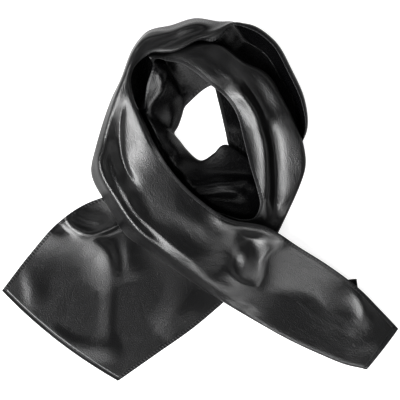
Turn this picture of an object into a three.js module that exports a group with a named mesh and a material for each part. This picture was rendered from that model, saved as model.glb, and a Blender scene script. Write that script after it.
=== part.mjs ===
// A satin scarf: one long strip of cloth with turned and stitched hems, lying flat in a double loop.
// The strip starts at the left tail, runs under the crossing, goes once round the neck opening,
// passes over itself, goes round again as a standing collar, and crosses over to the right tail.
// Millimetres, Z up, the surface that the scarf lies on at z = 0.

import * as THREE from "three";

// Driving sizes
const PANEL_WALL = 1.0; // the satin field, with the air that a loose layer of cloth holds
const HEM_WALL = 1.4; // three layers of the same cloth
const HEM_WIDTH = 4.0;
const SEAM_GAP = 0.9; // between the field and a hem
const FIELD_INSET = HEM_WIDTH + SEAM_GAP;
const HEM_CLEARANCE = 0.2; // hems stay this far above the table, so that the field carries the weight
const LEFT_END_BOW = 6; // how far the middle of each end stands out from the line of its corners
const RIGHT_END_BOW = 3;
const BOW_REACH = 60; // an end's bow dies away over this length of the strip

// How the cloth bends
const FOLD_LOFT = 1.6; // half the height of the rounded back of a sharp lengthwise fold
const LOFT_SHARE = 1 / 3; // of the folded layer's width, where that is less
const ROUNDING = 5; // the sections' corners are averaged over this distance on both sides
const ROUNDING_SAMPLES = 13;

// Mesh steps
const STEP_ALONG = 26; // about one row of vertices per this distance along the strip
const TUCK_STEP = 18; // and one more per this change of the cloth turned under
const COLUMNS = 24; // across the field
const CROWDING = 2.5; // extra density of columns at the two lengthwise turns
const CROWDING_REACH = 8; // millimetres across the strip
const CROWDING_SAMPLES = 240;
const NORMAL_STEP = 1.5; // millimetres between the points that give a normal
const FOLD_PIECES = 16; // straight pieces that stand for a fold's crest line
const NO_LENGTH = 1e-9; // least length of a section's piece, so that two points may coincide

// Sections across the strip, from end to end. neck is the turn on the side of the opening and
// outer the turn on the other side, both [x, y, z]. crown lifts the middle between them, and
// middle places it, where the strip turns over. tuck is [towards outer, down]: where the neck-side
// hem lies from the neck turn, under it or outside it.
// hem is the outer hem where the cloth turns back under; without it the hem is at the outer turn.
const SECTIONS = [
  // the left tail, and its run under the crossing
  { neck: [-214, -99, -0.6], outer: [-88.5, -196.5, -0.6] },
  { neck: [-184, -60, -0.6], outer: [-48, -168, -0.6] },
  { neck: [-150, -23, -0.4], outer: [-7, -139, -0.4] },
  { neck: [-113, -1, 1], outer: [25, -112, 0.4], crown: 1 },
  { neck: [-62, 9, 6.5], outer: [45, -94, 1.5], crown: 3 },
  { neck: [-14, -2, 11], outer: [63, -74, 3.5], crown: 4 },
  { neck: [22, -15, 16], outer: [77, -54, 6.5], crown: 4 },
  // the first turn, up the right of the opening
  { neck: [44, -22, 20], outer: [86, -35, 9.5], crown: 3, hem: [77, -25, 4.5] },
  { neck: [58, -20, 22], outer: [97, -11, 11], crown: 4, hem: [75, -11, 7.5] },
  { neck: [64, -7, 22], outer: [107, 12, 12.5], crown: 7, hem: [70, 2, 7] },
  { neck: [61, 10, 22], outer: [114, 34, 14], crown: 9, hem: [70, 22, 7] },
  { neck: [54, 34, 22], outer: [112.5, 57, 15], crown: 9, hem: [70, 45, 5.5] },
  { neck: [47, 62, 22], outer: [105.5, 77, 16], crown: 10, hem: [66, 68, 3.5] },
  { neck: [39, 91, 22], outer: [92.5, 104, 16], crown: 11, hem: [57, 91, 3.5] },
  { neck: [24, 112, 23], outer: [72, 136, 17], crown: 11, hem: [46, 115, 3.5] },
  { neck: [9, 124, 24], outer: [48, 148, 18], crown: 9, hem: [35, 124, 4.5] },
  { neck: [-6, 136, 26], outer: [21, 167, 21], crown: 6, hem: [23, 126, 5] },
  { neck: [-20, 144.5, 28], outer: [-2, 168, 26], crown: 3, hem: [13, 123, 5] },
  { neck: [-35, 147.5, 30], outer: [-30, 160, 26], crown: 2, hem: [1, 116, 3] },
  { neck: [-47, 149.5, 31], outer: [-39, 148, 18], middle: [-58, 155, 28], hem: [-12, 104, 1.2] },
  // the left wall of the opening
  { neck: [-51.5, 138, 31], outer: [-34, 139, 27], middle: [-45, 141, 33], hem: [-17, 98.5, 0.8] },
  { neck: [-57, 122, 31], outer: [-43, 117, 29], crown: 1, hem: [-20, 89, 0.5] },
  { neck: [-60, 99, 29], outer: [-53, 95, 26], crown: 1, tuck: [-1, 1], hem: [-23.5, 79, 0.5] },
  { neck: [-52, 80, 26], outer: [-25, 67, 2.5], crown: 2, tuck: [-20, 16], hem: [-29, 69, 0.5] },
  { neck: [-40, 53, 22], outer: [-14, 54, 2.5], crown: 2, tuck: [-34, 18], hem: [-35, 48, 0.5] },
  // the bottom of the opening, then out under the first turn
  { neck: [-18, 22, 14], outer: [-1, 43, 2.5], crown: 3, tuck: [-36, 12], hem: [-16, 14, 0.5] },
  { neck: [6, -4, 9], outer: [6, 44, 2.5], crown: 4, tuck: [-32, 7], hem: [4, 10, 0.5] },
  { neck: [36, -18, 6], outer: [15, 50.5, 4], crown: 3, tuck: [-28, 4], hem: [22, 18, 0.9] },
  { neck: [76, -18, 4], outer: [28, 59.5, 6], crown: 1, tuck: [-6, 2], hem: [32, 48.5, 0.9] },
  { neck: [101, 10, 5], outer: [66, 40, 3], hem: [29.5, 62, 1.2] },
  { neck: [106, 48, 3], outer: [97, 51, 2], hem: [27.5, 72, 0.5] },
  // the standing collar on the right
  { neck: [116, 78, 24], outer: [107, 79, 1.5], tuck: [3, -3], hem: [25.2, 82, 0.5] },
  { neck: [113, 105, 29], outer: [104, 102, 1], tuck: [5, -4], hem: [22, 96, 0.5] },
  { neck: [99, 138, 32], outer: [89, 131, 1], tuck: [6, -4], hem: [19, 108, 0.5] },
  { neck: [80, 170, 33], outer: [70, 159, 1], tuck: [6, -4], hem: [16, 120, 0.5] },
  { neck: [56, 186.5, 34], outer: [50, 173, 2.5], tuck: [6, -3], hem: [12, 132, 0.6] },
  // the curl at the top
  { neck: [35, 188, 38], outer: [37, 190, 14], tuck: [-5, 3], hem: [7, 140, 0.8] },
  { neck: [18, 180, 40], outer: [20, 191.5, 11], crown: 1, tuck: [-11, 7], hem: [2, 143, 1] },
  // the top band and the bunch at the upper left
  { neck: [-2, 170, 40], outer: [-4, 195, 10], crown: 5, tuck: [0, 5], hem: [-8, 136, 1.2] },
  { neck: [-28, 157.5, 38], outer: [-31, 187.5, 10], crown: 7, tuck: [0, 4], hem: [-24, 133, 1.2] },
  { neck: [-52, 156, 37], outer: [-58, 180, 9], crown: 6, tuck: [0, 3], hem: [-38, 133, 1.2] },
  { neck: [-66, 147, 36], outer: [-72, 163, 9], crown: 5, tuck: [0, 6], hem: [-45, 128, 1.2] },
  { neck: [-74.5, 130, 35], outer: [-85, 130, 9], crown: 5, tuck: [0, 18], hem: [-53, 118, 1.2] },
  { neck: [-71, 107, 34], outer: [-96, 107, 10], crown: 7, tuck: [0, 16], hem: [-60, 100, 1.2] },
  { neck: [-62, 87, 34], outer: [-105.5, 81, 10], crown: 6, tuck: [0, 8], hem: [-68, 79, 1.2] },
  // the front band
  { neck: [-55, 72, 34], outer: [-113, 55, 9], crown: 6, tuck: [0, 3], hem: [-78, 63, 1.2] },
  { neck: [-49, 60, 34], outer: [-118, 31, 7], crown: 7, hem: [-98, 39, 1.8] },
  { neck: [-33, 34, 33], outer: [-100, -8, 7.5], crown: 7, hem: [-97, -6, 6] },
  { neck: [-17, 15, 33], outer: [-79, -41, 6.5], crown: 7, hem: [-77, -40, 5.5] },
  { neck: [-3, 2, 33], outer: [-53, -58, 8.5], crown: 7, hem: [-48, -52, 4.5] },
  { neck: [29, -20, 33], outer: [-19, -83, 8.5], crown: 7, hem: [-2, -52, 9.5] },
  { neck: [72, -30, 31], outer: [25, -112, 7], crown: 7, hem: [48, -61, 13] },
  // the right tail
  { neck: [107, -52, 22], outer: [60, -133, 5], crown: 6, hem: [82, -71, 10] },
  { neck: [138, -71.5, 12], outer: [92, -151, 4], crown: 5, hem: [106, -82, 3] },
  { neck: [172, -97, 6], outer: [128, -168, 3], crown: 3, hem: [129, -91, 0.4] },
  { neck: [193, -118, 4], outer: [155, -179, 2.5], crown: 2, hem: [152, -88, 0.4] },
  { neck: [214, -140, 3], outer: [177, -184, 2], crown: 1, hem: [169, -86, 0.4] },
];

// Stretches of the strip that a fold can lie in, by section number. Where under is false, only
// the upper layer between the two turns takes the fold.
const LEFT_TAIL = { first: 0, last: 4.5, under: true };
const FIRST_TURN = { first: 6.5, last: 18.5, under: false };
const LEFT_WALL = { first: 18.6, last: 25, under: true };
const BOTTOM = { first: 23, last: 29.5, under: true };
const TOP_BAND = { first: 35, last: 44, under: false };
const FRONT_BAND = { first: 40.5, last: 60, under: false };

// Folds seen from above: each crest line starts at from, passes by and ends at to, [x, y]. A
// negative rise is a valley. breadth is the distance at which the fold has mostly died away.
const FOLDS = [
  { in: LEFT_TAIL, from: [-144, -16], by: [-132, -38], to: [-90, -28], rise: 4.5, breadth: 5 },
  { in: LEFT_TAIL, from: [-134, -18], by: [-122, -27], to: [-100, -26], rise: -2.5, breadth: 4.5 },
  { in: LEFT_TAIL, from: [-170, -46], by: [-138, -44], to: [-98, -62], rise: 3.6, breadth: 10 },
  { in: LEFT_TAIL, from: [-93, -34], by: [-94, -60], to: [-91, -92], rise: -2.5, breadth: 5 },
  { in: LEFT_TAIL, from: [-84, -34], by: [-83, -60], to: [-78, -92], rise: 4, breadth: 6 },
  { in: LEFT_TAIL, from: [-114, -60], by: [-101, -110], to: [-102, -172], rise: 4.5, breadth: 13 },
  { in: LEFT_TAIL, from: [-164, -136], by: [-120, -172], to: [-66, -168], rise: 3.8, breadth: 11 },
  { in: LEFT_TAIL, from: [-198, -70], by: [-187, -100], to: [-192, -132], rise: 3.4, breadth: 10 },
  { in: LEFT_TAIL, from: [16, -102], by: [-20, -116], to: [-50, -144], rise: 2.8, breadth: 15 },
  { in: FIRST_TURN, from: [20, 118], by: [61, 70], to: [69, -16], rise: 8, breadth: 11 },
  { in: FIRST_TURN, from: [30, 154], by: [70, 76], to: [77, -18], rise: -16, breadth: 7.5 },
  { in: FIRST_TURN, from: [0, 168], by: [38, 162], to: [88, 106], rise: 6, breadth: 7 },
  { in: FIRST_TURN, from: [8, 164], by: [18, 138], to: [46, 110], rise: -5, breadth: 12 },
  { in: FIRST_TURN, from: [86, 96], by: [98, 50], to: [88, -20], rise: 4, breadth: 14 },
  { in: FIRST_TURN, from: [-40, 152], by: [-4, 142], to: [38, 108], rise: 2, breadth: 9 },
  { in: LEFT_WALL, from: [-33, 142], by: [-34, 122], to: [-58, 102], rise: 7, breadth: 8 },
  { in: LEFT_WALL, from: [-43, 143], by: [-44, 132], to: [-44, 122], rise: 2, breadth: 4 },
  { in: LEFT_WALL, from: [-40, 105], by: [-24, 110], to: [-8, 122], rise: 3, breadth: 4 },
  { in: LEFT_WALL, from: [-29, 108], by: [-29, 86], to: [-46, 54], rise: 6, breadth: 6 },
  { in: LEFT_WALL, from: [-27, 68], by: [-26, 52], to: [-27, 34], rise: 6, breadth: 6 },
  { in: BOTTOM, from: [-14, 10], by: [20, 18], to: [60, 19], rise: 4, breadth: 5 },
  { in: BOTTOM, from: [-12, 5], by: [16, 7], to: [46, 9], rise: 3, breadth: 4.5 },
  { in: TOP_BAND, from: [-68, 170], by: [-52, 174], to: [-34, 182], rise: -8, breadth: 4 },
  { in: TOP_BAND, from: [-56, 160], by: [-30, 169], to: [0, 184], rise: -7, breadth: 4.5 },
  { in: FRONT_BAND, from: [-79, 116], by: [-79, 84], to: [-56, 36], rise: 8, breadth: 12 },
  { in: FRONT_BAND, from: [-79, 108], by: [-91, 60], to: [-46, -18], rise: -16, breadth: 8 },
  { in: FRONT_BAND, from: [-94, 112], by: [-109, 66], to: [-109, 34], rise: 6, breadth: 8 },
  { in: FRONT_BAND, from: [-109, 40], by: [-82, -28], to: [24, -112], rise: 6, breadth: 7.5 },
  { in: FRONT_BAND, from: [-95, 60], by: [-84, -6], to: [-10, -66], rise: 5, breadth: 6.5 },
  { in: FRONT_BAND, from: [-76, -16], by: [-40, -54], to: [6, -92], rise: -6, breadth: 7 },
  { in: FRONT_BAND, from: [-24, 18], by: [4, -22], to: [92, -40], rise: 5, breadth: 8 },
  { in: FRONT_BAND, from: [-50, -10], by: [0, -36], to: [50, -78], rise: 4, breadth: 14 },
  { in: FRONT_BAND, from: [94, -40], by: [64, -54], to: [67, -84], rise: 4.5, breadth: 7 },
  { in: FRONT_BAND, from: [67, -74], by: [58, -98], to: [30, -76], rise: 4.5, breadth: 7 },
  { in: FRONT_BAND, from: [60, -38], by: [55, -58], to: [54, -84], rise: -5, breadth: 8 },
  { in: FRONT_BAND, from: [30, -90], by: [98, -106], to: [168, -106], rise: 7, breadth: 12 },
  { in: FRONT_BAND, from: [166, -98], by: [172, -116], to: [171, -140], rise: 3.5, breadth: 8 },
  { in: FRONT_BAND, from: [150, -162], by: [172, -156], to: [196, -156], rise: 2, breadth: 8 },
];
const FOLD_FALL = 1.3; // steepness of a fold's flanks
const FOLD_CREST = 0.35; // rounding of its crest, as a share of the breadth
const FOLD_FADE = 0.25; // share of the crest line over which it rises or dies at each end
const STRETCH_FADE = 0.5; // sections over which a fold dies at the end of its stretch
const TURN_FADE = 6; // millimetres over which a fold dies at a lengthwise turn

const clamp = (value, low, high) => Math.min(Math.max(value, low), high);

// Rises from 0 to 1 with level ends.
function ease(t) {
  const c = clamp(t, 0, 1);
  return c * c * (3 - 2 * c);
}

const vector = (p) => new THREE.Vector3(...p);

// The seven points of one section: neck hem, neck turn (two points), middle, outer turn (two
// points) and outer hem. A turn's two points stand apart by the loft, so the fold has a round back.
function sectionPoints(section) {
  const neck = vector(section.neck);
  const outer = vector(section.outer);
  const [towards, down] = section.tuck ?? [0, 0];
  const run = outer.clone().sub(neck).setZ(0);
  if (run.length() > 0) run.normalize();
  const neckHem = neck.clone().addScaledVector(run, towards);
  neckHem.z -= down;
  const outerHem = section.hem ? vector(section.hem) : outer.clone();
  const halfway = neck.clone().add(outer).multiplyScalar(0.5);
  halfway.z += section.crown ?? 0;
  const middle = section.middle ? vector(section.middle) : halfway;
  const side = neckHem.z <= neck.z ? 1 : -1;
  const neckLoft = side * Math.min(FOLD_LOFT, neckHem.distanceTo(neck) * LOFT_SHARE);
  const outerLoft = Math.min(FOLD_LOFT, outerHem.distanceTo(outer) * LOFT_SHARE);
  const lifted = (point, height) => point.clone().setZ(point.z + height);
  return [
    neckHem,
    lifted(neck, -neckLoft),
    lifted(neck, neckLoft),
    middle,
    lifted(outer, outerLoft),
    lifted(outer, -outerLoft),
    outerHem,
  ];
}

const rails = SECTIONS.map(sectionPoints);
const RAILS = rails[0].length;

// Distance along the strip at each section: the mean over the seven points.
const knots = [0];
for (let i = 1; i < rails.length; i += 1) {
  let sum = 0;
  for (let k = 0; k < RAILS; k += 1) sum += rails[i][k].distanceTo(rails[i - 1][k]);
  knots.push(knots[i - 1] + sum / RAILS);
}
const LENGTH = knots[knots.length - 1];
const gap = (i) => knots[i + 1] - knots[i];

// Slope of rail k at section i, weighted so that the nearer neighbour counts more.
function railSlope(i, k) {
  const slope = (j) => rails[j + 1][k].clone().sub(rails[j][k]).divideScalar(gap(j));
  if (i === 0) return slope(0);
  if (i === rails.length - 1) return slope(i - 1);
  const before = gap(i - 1);
  const after = gap(i);
  return slope(i - 1).multiplyScalar(after).addScaledVector(slope(i), before)
    .divideScalar(before + after);
}
const slopes = rails.map((row, i) => row.map((point, k) => railSlope(i, k)));

// Section number, with its fraction, at a distance along the strip.
function sectionAt(along) {
  let i = 0;
  while (i < rails.length - 2 && along > knots[i + 1]) i += 1;
  return { i, t: (along - knots[i]) / gap(i) };
}

// The seven points at a distance along the strip, by a cubic between the sections. Past an end
// the strip goes on straight.
function railsAt(along) {
  const { i, t } = sectionAt(along);
  if (t < 0 || t > 1) {
    const end = t < 0 ? 0 : rails.length - 1;
    const past = along - knots[end];
    return rails[end].map((point, k) => point.clone().addScaledVector(slopes[end][k], past));
  }
  const weightFrom = 2 * t ** 3 - 3 * t ** 2 + 1;
  const weightTo = 3 * t ** 2 - 2 * t ** 3;
  const slopeFrom = (t ** 3 - 2 * t ** 2 + t) * gap(i);
  const slopeTo = (t ** 3 - t ** 2) * gap(i);
  return rails[i].map((point, k) => point.clone().multiplyScalar(weightFrom)
    .addScaledVector(rails[i + 1][k], weightTo)
    .addScaledVector(slopes[i][k], slopeFrom)
    .addScaledVector(slopes[i + 1][k], slopeTo));
}

// A section's points with the distance across to each of them.
function measure(points) {
  const across = [0];
  for (let k = 1; k < RAILS; k += 1) {
    across.push(across[k - 1] + points[k].distanceTo(points[k - 1]));
  }
  return { points, across, width: across[RAILS - 1] };
}

// The point at a distance across the section's straight pieces. Past a hem the line is mirrored
// through the hem, so that averaging leaves the hem where it is.
function polyline(section, distance) {
  const { points, across, width } = section;
  let inside = distance;
  let mirror = null;
  if (distance < 0) {
    inside = -distance;
    mirror = points[0];
  } else if (distance > width) {
    inside = 2 * width - distance;
    mirror = points[RAILS - 1];
  }
  let k = 0;
  while (k < RAILS - 2 && inside > across[k + 1]) k += 1;
  const length = Math.max(across[k + 1] - across[k], NO_LENGTH);
  const point = points[k].clone().lerp(points[k + 1], clamp((inside - across[k]) / length, 0, 1));
  return mirror ? mirror.clone().multiplyScalar(2).sub(point) : point;
}

function roundedSection(section, distance) {
  const sum = new THREE.Vector3();
  for (let n = 0; n < ROUNDING_SAMPLES; n += 1) {
    const offset = ROUNDING * ((2 * n) / (ROUNDING_SAMPLES - 1) - 1);
    sum.add(polyline(section, distance + offset));
  }
  return sum.divideScalar(ROUNDING_SAMPLES);
}

// Points of a fold's crest line, a parabola through its three points.
function crestLine(fold) {
  const start = new THREE.Vector2(...fold.from);
  const end = new THREE.Vector2(...fold.to);
  const control = new THREE.Vector2(...fold.by).multiplyScalar(2)
    .sub(start.clone().add(end).multiplyScalar(0.5));
  return new THREE.QuadraticBezierCurve(start, control, end).getPoints(FOLD_PIECES);
}
const crests = FOLDS.map(crestLine);

// Distance from a point to a crest line, and the share of the line at the nearest place.
function nearest(line, x, y) {
  const best = { distance: Infinity, share: 0 };
  for (let k = 0; k < FOLD_PIECES; k += 1) {
    const a = line[k];
    const dx = line[k + 1].x - a.x;
    const dy = line[k + 1].y - a.y;
    const w = clamp(((x - a.x) * dx + (y - a.y) * dy) / (dx * dx + dy * dy), 0, 1);
    const distance = Math.hypot(x - a.x - w * dx, y - a.y - w * dy);
    if (distance < best.distance) {
      best.distance = distance;
      best.share = (k + w) / FOLD_PIECES;
    }
  }
  return best;
}

// Height that the folds add at a point of the cloth.
function foldHeight(section, distance, sectionNumber, x, y) {
  const neckTurn = section.across[2];
  const outerTurn = section.across[4];
  const upper = ease((distance - neckTurn) / TURN_FADE + 1) * ease((outerTurn - distance) / TURN_FADE + 1);
  let height = 0;
  FOLDS.forEach((fold, n) => {
    const stretch = fold.in;
    const inside = ease((sectionNumber - stretch.first) / STRETCH_FADE + 1)
      * ease((stretch.last - sectionNumber) / STRETCH_FADE + 1);
    if (inside === 0) return;
    const { distance: away, share } = nearest(crests[n], x, y);
    const crest = FOLD_CREST * fold.breadth;
    const flank = Math.exp((-FOLD_FALL * (Math.hypot(away, crest) - crest)) / fold.breadth);
    const ends = ease(share / FOLD_FADE) * ease((1 - share) / FOLD_FADE);
    height += fold.rise * flank * ends * inside * (stretch.under ? 1 : upper);
  });
  return height;
}

// How far an end's bow moves the cloth along the strip, at a share of the width.
function endBow(along, share) {
  const bulge = 4 * share * (1 - share);
  const left = LEFT_END_BOW * bulge * ease(1 - along / BOW_REACH);
  const right = RIGHT_END_BOW * bulge * ease(1 - (LENGTH - along) / BOW_REACH);
  return right - left;
}

const widthAt = (along) => measure(railsAt(along)).width;

// The middle of the cloth at a distance along the strip and a distance across it from the neck
// hem. lowest keeps the wall above the table.
function clothPoint(along, across, lowest) {
  const share = across / widthAt(along);
  const place = along + endBow(along, share);
  const section = measure(railsAt(place));
  const distance = share * section.width;
  const point = roundedSection(section, distance);
  const { i, t } = sectionAt(place);
  point.z = Math.max(point.z + foldHeight(section, distance, i + t, point.x, point.y), lowest);
  return point;
}

// The cloth's normal at the same place, from two short differences.
function clothNormal(along, across, lowest) {
  const at = (da, dc) => clothPoint(along + da * NORMAL_STEP, across + dc * NORMAL_STEP, lowest);
  const alongDifference = at(1, 0).sub(at(-1, 0));
  const acrossDifference = at(0, 1).sub(at(0, -1));
  return acrossDifference.cross(alongDifference).normalize();
}

// A closed body from a grid of places on the cloth, thickened by half a wall to each side. Every
// place is [along, across].
function wallBody(rows, wall, lowest) {
  const positions = [];
  const upper = [];
  const lower = [];
  rows.forEach((row) => {
    const top = [];
    const under = [];
    row.forEach(([along, across]) => {
      const point = clothPoint(along, across, lowest);
      const normal = clothNormal(along, across, lowest).multiplyScalar(wall / 2);
      top.push(positions.push(point.clone().add(normal)) - 1);
      under.push(positions.push(point.sub(normal)) - 1);
    });
    upper.push(top);
    lower.push(under);
  });
  const triangles = [];
  const quad = (a, b, c, d) => triangles.push(a, b, c, a, c, d);
  const last = rows.length - 1;
  const edge = rows[0].length - 1;
  for (let i = 0; i < last; i += 1) {
    for (let j = 0; j < edge; j += 1) {
      quad(upper[i][j], upper[i][j + 1], upper[i + 1][j + 1], upper[i + 1][j]);
      quad(lower[i][j], lower[i + 1][j], lower[i + 1][j + 1], lower[i][j + 1]);
    }
    quad(upper[i][0], upper[i + 1][0], lower[i + 1][0], lower[i][0]);
    quad(upper[i][edge], lower[i][edge], lower[i + 1][edge], upper[i + 1][edge]);
  }
  for (let j = 0; j < edge; j += 1) {
    quad(upper[0][j], lower[0][j], lower[0][j + 1], upper[0][j + 1]);
    quad(upper[last][j], upper[last][j + 1], lower[last][j + 1], lower[last][j]);
  }
  return { positions, triangles };
}

// Widths of the cloth turned under at the neck side and at the outer side of a section.
function tucks(i) {
  const { across, width } = measure(rails[i]);
  return [across[1], width - across[5]];
}

// Rows along the strip between two distances: every section, steps between them, and more steps
// where a tuck grows or shrinks fast.
function alongSteps(start, end) {
  const steps = [start];
  for (let i = 0; i < knots.length - 1; i += 1) {
    const [neckTuck, outerTuck] = tucks(i);
    const [nextNeckTuck, nextOuterTuck] = tucks(i + 1);
    const change = Math.abs(nextNeckTuck - neckTuck) + Math.abs(nextOuterTuck - outerTuck);
    const pieces = Math.max(1, Math.round(gap(i) / STEP_ALONG + change / TUCK_STEP));
    for (let n = 0; n < pieces; n += 1) {
      const along = knots[i] + (gap(i) * n) / pieces;
      if (along > start + HEM_WIDTH && along < end - HEM_WIDTH) steps.push(along);
    }
  }
  steps.push(end);
  return steps;
}

// Distances across the field, crowded at the two turns where the cloth bends most.
function acrossSteps(along) {
  const { across, width } = measure(railsAt(along));
  const turns = [(across[1] + across[2]) / 2, (across[4] + across[5]) / 2];
  const sums = [0];
  for (let n = 0; n < CROWDING_SAMPLES; n += 1) {
    const place = FIELD_INSET + ((width - 2 * FIELD_INSET) * (n + 0.5)) / CROWDING_SAMPLES;
    const near = turns.map((turn) => Math.exp(-(((place - turn) / CROWDING_REACH) ** 2)));
    sums.push(sums[n] + 1 + CROWDING * (near[0] + near[1]));
  }
  const steps = [];
  let n = 0;
  for (let column = 0; column <= COLUMNS; column += 1) {
    const target = (sums[CROWDING_SAMPLES] * column) / COLUMNS;
    while (n < CROWDING_SAMPLES - 1 && sums[n + 1] < target) n += 1;
    const share = (n + (target - sums[n]) / (sums[n + 1] - sums[n])) / CROWDING_SAMPLES;
    steps.push(FIELD_INSET + (width - 2 * FIELD_INSET) * clamp(share, 0, 1));
  }
  return steps;
}

const fieldRow = (along) => acrossSteps(along).map((across) => [along, across]);

// The field, inside all four hems.
const fieldRows = alongSteps(FIELD_INSET, LENGTH - FIELD_INSET).map(fieldRow);

// The hems: two along the sides from end to end, and one across each end between them.
const sideSteps = alongSteps(0, LENGTH);
const neckHemRows = sideSteps.map((along) => [[along, 0], [along, HEM_WIDTH]]);
const outerHemRows = sideSteps.map((along) => {
  const width = widthAt(along);
  return [[along, width - HEM_WIDTH], [along, width]];
});
const leftHemRows = [0, HEM_WIDTH].map(fieldRow);
const rightHemRows = [LENGTH - HEM_WIDTH, LENGTH].map(fieldRow);

const satin = new THREE.MeshStandardMaterial({ color: 0x141416, roughness: 0.38, metalness: 0 });
const hemSatin = new THREE.MeshStandardMaterial({ color: 0x1b1b1e, roughness: 0.45, metalness: 0 });

const hemLowest = HEM_CLEARANCE + HEM_WALL / 2;
const bodies = [
  { name: "scarf_panel", body: wallBody(fieldRows, PANEL_WALL, PANEL_WALL / 2), material: satin },
  { name: "side_hem_neck", body: wallBody(neckHemRows, HEM_WALL, hemLowest), material: hemSatin },
  { name: "side_hem_outer", body: wallBody(outerHemRows, HEM_WALL, hemLowest), material: hemSatin },
  { name: "end_hem_left", body: wallBody(leftHemRows, HEM_WALL, hemLowest), material: hemSatin },
  { name: "end_hem_right", body: wallBody(rightHemRows, HEM_WALL, hemLowest), material: hemSatin },
];

// The origin goes under the middle of the whole scarf, on the table.
const box = new THREE.Box3();
bodies.forEach(({ body }) => body.positions.forEach((point) => box.expandByPoint(point)));
const centre = box.getCenter(new THREE.Vector3()).setZ(0);

const scarf = new THREE.Group();
bodies.forEach(({ name, body, material }) => {
  const geometry = new THREE.BufferGeometry();
  const numbers = body.positions.flatMap((point) => point.clone().sub(centre).toArray());
  geometry.setAttribute("position", new THREE.Float32BufferAttribute(numbers, 3));
  geometry.setIndex(body.triangles);
  geometry.computeVertexNormals();
  const mesh = new THREE.Mesh(geometry, material);
  mesh.name = name;
  scarf.add(mesh);
});

export default scarf;
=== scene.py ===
# %% [markdown]
# # A black satin scarf, laid in a double loop
#
# The real thing is one long strip of satin with its four edges turned in and stitched. It lies
# on a table: the left tail is a flat layer, the strip passes under the crossing, goes twice round
# the neck opening, and comes over the front to the right tail. This lesson makes the strip as a
# surface worked out with numpy, then its hems, stitches and finishes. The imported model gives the
# frame: metres, Z up, the table at height zero.

import math

import bpy
import numpy as np
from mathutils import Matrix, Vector


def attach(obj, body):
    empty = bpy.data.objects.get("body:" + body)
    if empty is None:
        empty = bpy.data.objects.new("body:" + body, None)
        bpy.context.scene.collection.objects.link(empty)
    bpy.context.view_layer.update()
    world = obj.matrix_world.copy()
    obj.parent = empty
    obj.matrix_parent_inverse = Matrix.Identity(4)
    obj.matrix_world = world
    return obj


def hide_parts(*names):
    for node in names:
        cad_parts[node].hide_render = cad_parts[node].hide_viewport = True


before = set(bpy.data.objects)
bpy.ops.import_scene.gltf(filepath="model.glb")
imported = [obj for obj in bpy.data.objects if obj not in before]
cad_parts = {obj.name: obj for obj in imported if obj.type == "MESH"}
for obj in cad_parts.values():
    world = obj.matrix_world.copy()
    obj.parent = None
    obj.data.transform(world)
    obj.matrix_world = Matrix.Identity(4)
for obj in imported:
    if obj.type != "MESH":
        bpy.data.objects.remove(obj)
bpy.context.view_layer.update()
MM = 0.001  # lengths below are in millimetres and become metres when a mesh is made
TINY = 1e-9  # keeps a length of nothing from being divided by
print("CAD nodes:", ", ".join(sorted(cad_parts)))

# %% [markdown]
# ## Sections of the strip
#
# A laid scarf could be found by cloth simulation, but a simulation wouldn't land on the folds
# that this one has. So the strip is drawn as a maker would pin it: a row for each section across
# it, in order from the left tail's end to the right tail's end. `neck` is the top of the side
# towards the neck opening and `outer` the top of the other side. `crown` lifts the middle between
# them, or `middle` gives it. `tuck` is how far the neck hem is turned under, towards the outer
# side and down, and `hem` is where the outer hem lies when that side is turned under.

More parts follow.
